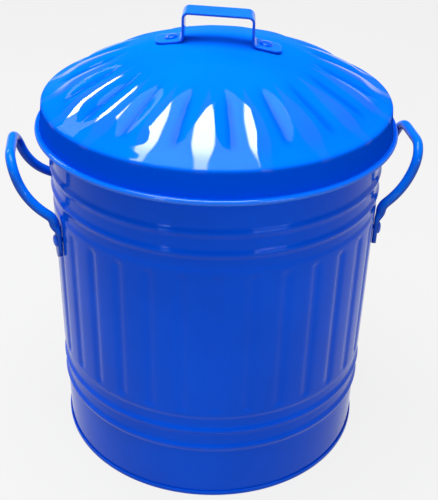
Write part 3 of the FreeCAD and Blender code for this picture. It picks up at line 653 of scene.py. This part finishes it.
# Depth of the washer's back behind the belt's face
washer_back = 0.004
handle_sizes = {"Rivets": 4, "Radius": wall_radius(rivet_height) + head_seat, "Height": rivet_height,
                "Angle": leg_angle, "Lean": math.pi / 2}


def at_legs(number, angle):
    """Direction of each handle rivet from the axis: two on the right, then two on the left."""
    side = (number / 2).math("FLOOR")
    leg = number - side * 2
    return angle * (leg * 2 - 1) + side * math.pi


handle_rivets = shape(blank("handle_rivets", rivet_angles, rivet_profile(head_seat + washer_back)),
                      riveting("handle_riveting", handle_sizes, at_legs), handle_sizes, rivet_paint)
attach(handle_rivets, "bin")
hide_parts("handle_rivet_right_front", "handle_rivet_right_back",
            "handle_rivet_left_front", "handle_rivet_left_back")

bare_steel = bpy.data.materials.new("bare_steel")
bare_steel.use_nodes = True
bare_steel.node_tree.nodes.clear()
where = Signal(bare_steel.node_tree).node("ShaderNodeTexCoord", {}, {}, "Object")
tarnish = where.node("ShaderNodeTexNoise", {}, {"Vector": where, "Scale": 300.0, "Detail": 4.0}, "Fac")
drawn = where.node("ShaderNodeTexNoise", {}, {"Vector": where, "Scale": 1500.0, "Detail": 2.0}, "Fac")
zinc = tarnish.smooth(0.35, 0.7).blend((0.62, 0.63, 0.65, 1), (0.42, 0.43, 0.46, 1))
grain = where.node("ShaderNodeBump", {}, {"Strength": 0.4, "Distance": 0.00004, "Height": drawn})
steel = where.node("ShaderNodeBsdfPrincipled", {}, {
    "Base Color": zinc, "Metallic": 1.0, "Roughness": 0.26 + tarnish * 0.2, "Normal": grain})
where.node("ShaderNodeOutputMaterial", {}, {"Surface": steel})
for node_name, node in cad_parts.items():
    if "washer" in node_name or "wire" in node_name:
        for slot in node.material_slots:
            slot.material = bare_steel


# The lid: one pressing of painted sheet steel. Nineteen valleys run out from its smooth
# crown between raised fingers, and end in a plain ring, a rounded shoulder and a short skirt
# whose edge is curled outward over a wire.
lid_sheet = 0.0007
lid_wire_low, lid_wire_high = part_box("lid_edge_wire")
lid_wire = (lid_wire_high.z - lid_wire_low.z) / 2
curl_height = (lid_wire_high.z + lid_wire_low.z) / 2
curl_radius = lid_wire_high.x - lid_wire
curl_bore = lid_wire + touch_gap
curl_steps = 12
skirt_steps = 6
shoulder_radius = 0.17728
shoulder_round = 0.0035
shoulder_steps = 8
ring_tilt = math.radians(25)
ring_slope = math.tan(ring_tilt)
lid_clearance = 0.001
ring_level = rim_height + (rim_bore + wall_sheet + lid_clearance) / math.cos(ring_tilt)
ring_blend = (0.14, 0.16)
dome_round = 0.302
ring_width = 0.01795
finger_end = rim_radius - ring_width
finger_rise = 0.0035
valley_count = 19
valley_pitch = 2 * math.pi / valley_count
lid_turn = math.radians(2.8)


def lid_gloss_and_shade(where, paint, lacquer):
    """Polished backs on the fingers, thin lacquer elsewhere, and painted shade: a darker blue in the valleys
    and on the skirt.

    The pairs are the radii, or for the skirt the heights, between which each change takes place.
    """
    polish_start = (0.085, 0.1)
    polish_widening = (0.088, 0.135)
    polish_narrowing = (0.15, 0.172)
    polish_fading = (0.152, 0.17)
    polish_blur = 0.06
    polish_spread = 0.4
    polish_return = 0.2
    polish_loss = 0.6
    groove_start = (0.09, 0.115)
    groove_end = (0.148, 0.162)
    groove_half = 0.34
    valley_shade_strength = 0.6
    valley_shade_blue = (0.0, 0.07, 0.72, 1)
    skirt_top = (0.386, 0.394)
    skirt_shade_blue = (0.0, 0.08, 0.8, 1)
    curl_top = curl_height + curl_bore
    curl_fading = 0.001
    curl_lacquer = 0.3
    thin_lacquer = 0.04
    across = where.node("ShaderNodeSeparateXYZ", {}, {"Vector": where}, "X")
    along = across.other("Y")
    radius = (across * across + along * along).math("SQRT")
    turn = (along.math("ARCTAN2", across) - lid_turn) / valley_pitch
    share = (turn - turn.math("ROUND")).math("ABSOLUTE") * 2
    edge = 1 - polish_spread * radius.smooth(*polish_widening)
    edge = edge + polish_return * radius.smooth(*polish_narrowing)
    back = share.smooth(edge - polish_blur, edge + polish_blur) * radius.smooth(*polish_start)
    back = back * (1 - polish_loss * radius.smooth(*polish_fading))
    # Painted shade: a darker blue down the bottoms of the valleys
    valley_shade = (1 - share.smooth(0.0, groove_half)) * radius.smooth(*groove_start)
    valley_shade = valley_shade * (1 - radius.smooth(*groove_end))
    paint = (valley_shade * valley_shade_strength).blend(paint, valley_shade_blue)
    # Painted shade: the skirt is a darker blue below the top, while the curl keeps the top's lighter blue as
    # a painted highlight
    height = across.other("Z")
    top = height.smooth(*skirt_top)
    curl = 1 - height.smooth(curl_top, curl_top + curl_fading)
    paint = top.math("MAXIMUM", curl).blend(skirt_shade_blue, paint)
    return paint, top * (thin_lacquer + back * (lacquer - thin_lacquer)) + curl * curl_lacquer


lid_paint = enamel("lid_paint", (0.0, 0.16, 0.96), (0.0, 0.14, 0.9), peel_depth=0.00016,
                   roughness=0.08, shine=0.0, lacquer=0.9, finish=lid_gloss_and_shade)


def ring_height(radius):
    """Height of the plain ring, and of its cone carried on inward."""
    return ring_level - (radius - rim_radius) * ring_slope


dome_centre = ring_height(finger_end) + finger_rise - math.sqrt(dome_round ** 2 - finger_end ** 2)


def dome_height(radius):
    """Height of the crown, and of the tops of the fingers."""
    return dome_centre + math.sqrt(dome_round ** 2 - radius ** 2)


lid_profile = []
for step in range(curl_steps + 1):
    swing = roll_turn * (1 - step / curl_steps)
    lid_profile.append((curl_radius - curl_bore * math.cos(swing), curl_height - curl_bore * math.sin(swing)))
arc_radius = shoulder_radius - shoulder_round
arc_top = arc_radius + shoulder_round * math.sin(ring_tilt)
arc_height = ring_height(arc_top) - shoulder_round * math.cos(ring_tilt)
skirt_foot = curl_radius - curl_bore
for step in range(1, skirt_steps):
    part = step / skirt_steps
    lid_profile.append((skirt_foot + (shoulder_radius - skirt_foot) * part,
                        curl_height + (arc_height - curl_height) * part))
for step in range(shoulder_steps + 1):
    swing = (math.pi / 2 - ring_tilt) * step / shoulder_steps
    lid_profile.append((arc_radius + shoulder_round * math.cos(swing),
                        arc_height + shoulder_round * math.sin(swing)))
# Rows lie close over the fingers and the ring, and wide on the smooth crown
for radius in spread(((arc_top,), (0.142, 22), (0.09, 18), (0.06, 5), (0.0, 8)))[1:]:
    above_dome = max(0.0, ring_height(radius) - dome_height(radius))
    lid_profile.append((radius, dome_height(radius) + above_dome * ease(*ring_blend, radius)))
# Columns of one valley, in parts of the pitch, close together at its bottom
valley_columns = (-0.5, -0.4, -0.31, -0.235, -0.175, -0.125, -0.085, -0.05, -0.024,
                  0.0, 0.024, 0.05, 0.085, 0.125, 0.175, 0.235, 0.31, 0.4)
lid_angles = [valley_pitch * (valley + column) + lid_turn
              for valley in range(valley_count) for column in valley_columns]
lid_angles.append(lid_angles[0] + 2 * math.pi)


def press_valleys(angle, radius, height, size):
    """Sinks round-bottomed valleys between crowned fingers, whose ends run out in the plain ring."""
    narrowest = 0.001
    pitch = 2 * math.pi / size["Valleys"]
    turn = (angle - size["Turn"]) / pitch
    beside = (turn - turn.math("ROUND")) * pitch * radius
    soft = (beside * beside + size["Valley Round"] * size["Valley Round"]).math("SQRT") - size["Valley Round"]
    share = (soft / (pitch * radius * 0.5).math("MAXIMUM", narrowest)).math("MINIMUM", 1.0)
    finger = 1 - (1 - share).math("POWER", size["Crowning"])
    end = 1 - radius.smooth(size["Finger Tip"], size["Run Out"])
    cone = size["Ring Level"] - (radius - size["Ring Radius"]) * size["Ring Slope"]
    body = radius.smooth(size["Valley Start"], size["Valley Full"]) * (1 - size["Toe Share"])
    toe = radius.smooth(size["Toe Start"], size["Toe Full"]) * size["Toe Share"]
    depth = (height - cone).math("MAXIMUM", 0.0) * (body + toe)
    return radius, height - depth * (1 - finger * end)


lid_sizes = {"Valleys": valley_count, "Turn": lid_turn, "Valley Round": 0.0016, "Crowning": 2.1,
             "Ring Level": ring_level, "Ring Radius": rim_radius, "Ring Slope": ring_slope,
             "Valley Start": 0.078, "Valley Full": 0.118, "Toe Start": 0.135, "Toe Full": 0.15,
             "Toe Share": 0.15, "Finger Tip": 0.143, "Run Out": 0.169}
lid = shape(blank("lid_pressing", lid_angles, lid_profile), turning("lid_form", lid_sizes, press_valleys),
            lid_sizes, lid_paint, lid_sheet)
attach(lid, "lid")
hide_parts("lid_shell")


# The lid's handle: a strip of steel bent into a flat-topped bow, with two round-cornered
# feet that lie on the crown, each held by one rivet.
strap_half = 0.0135
strap_thick = 0.0028
strap_square = 9.0
strap_sides = 24
strap_turn = math.radians(-16.7)
strap_skew = 0.14
grip_half = 0.03625
grip_row = 0.018
grip_bend_outside = 0.007
rivet_offset = 0.01075
strap_rivets = grip_half + rivet_offset
foot_lean = math.asin(strap_rivets / dome_round)
foot_reach = 0.016
foot_corner = 0.008
foot_bend_inside = 0.004
foot_runs = (0.0, 0.0005, 0.0014, 0.003, 0.0055, 0.008, 0.0125, 0.016, 0.0185)
foot_way = Vector((-math.cos(foot_lean), 0, math.sin(foot_lean)))
foot_face = Vector((math.sin(foot_lean), 0, math.cos(foot_lean)))
rivet_seat = Vector((strap_rivets, 0, dome_height(strap_rivets)))
foot_middle = rivet_seat + foot_face * (touch_gap + strap_thick / 2)
upright = grip_half - strap_thick / 2
grip_middle = cad_high.z - strap_thick / 2
foot_bend = foot_bend_inside + strap_thick / 2
grip_bend = grip_bend_outside - strap_thick / 2
strap_points = []
strap_sections = []
for run in foot_runs:
    strap_points.append(foot_middle + foot_way * (run - foot_reach))
    inset = max(0.0, foot_corner - run)
    width = strap_half - foot_corner + math.sqrt(foot_corner ** 2 - inset ** 2)
    strap_sections.append((width, strap_thick / 2, strap_square))
bend_turn = foot_way.angle(upward)
bend_from = (foot_middle.x - upright) / math.cos(foot_lean) - foot_bend * math.tan(bend_turn / 2)
strap_points.append(foot_middle + foot_way * bend_from)
strap_points += arc(strap_points[-1], foot_way, upward, foot_bend, steps=5)
strap_points.append(Vector((upright, 0, (strap_points[-1].z + grip_middle - grip_bend) / 2)))
strap_points.append(Vector((upright, 0, grip_middle - grip_bend)))
strap_points += arc(strap_points[-1], upward, Vector((-1, 0, 0)), grip_bend, steps=6)
strap_points.append(Vector((grip_row, 0, grip_middle)))
strap_points.append(Vector((0, 0, grip_middle)))
strap_sections += [(strap_half, strap_thick / 2, strap_square)] * (len(strap_points) - len(strap_sections))
strap_bar = loft(strap_points, Vector((0, 1, 0)), strap_sections, strap_sides)
# The bow is bent a little askew
for corner in strap_bar[0]:
    corner.x -= strap_skew * corner.y
strap = mirrored_bar("lid_strap", strap_bar, (-1, -1), strap_turn, handle_paint)
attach(strap, "lid")
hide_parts("lid_handle")


# The lid rivets: the same round-headed rivets, one through each foot of the strap, square
# to the crown and painted with the lid.
rivet_top = rivet_seat + foot_face * (touch_gap + strap_thick)
lid_washer = 0.0011
lid_grip = touch_gap + strap_thick + lid_sheet + lid_washer
lid_rivet_sizes = {"Rivets": 2, "Radius": rivet_top.x, "Height": rivet_top.z,
                   "Angle": strap_turn, "Lean": foot_lean}


def at_feet(number, angle):
    """Direction of each strap rivet from the lid's middle."""
    return angle + number * math.pi


lid_rivets = shape(blank("lid_rivets", rivet_angles, rivet_profile(lid_grip)),
                   riveting("lid_riveting", lid_rivet_sizes, at_feet), lid_rivet_sizes, rivet_paint)
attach(lid_rivets, "lid")
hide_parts("lid_rivet_right", "lid_rivet_left")
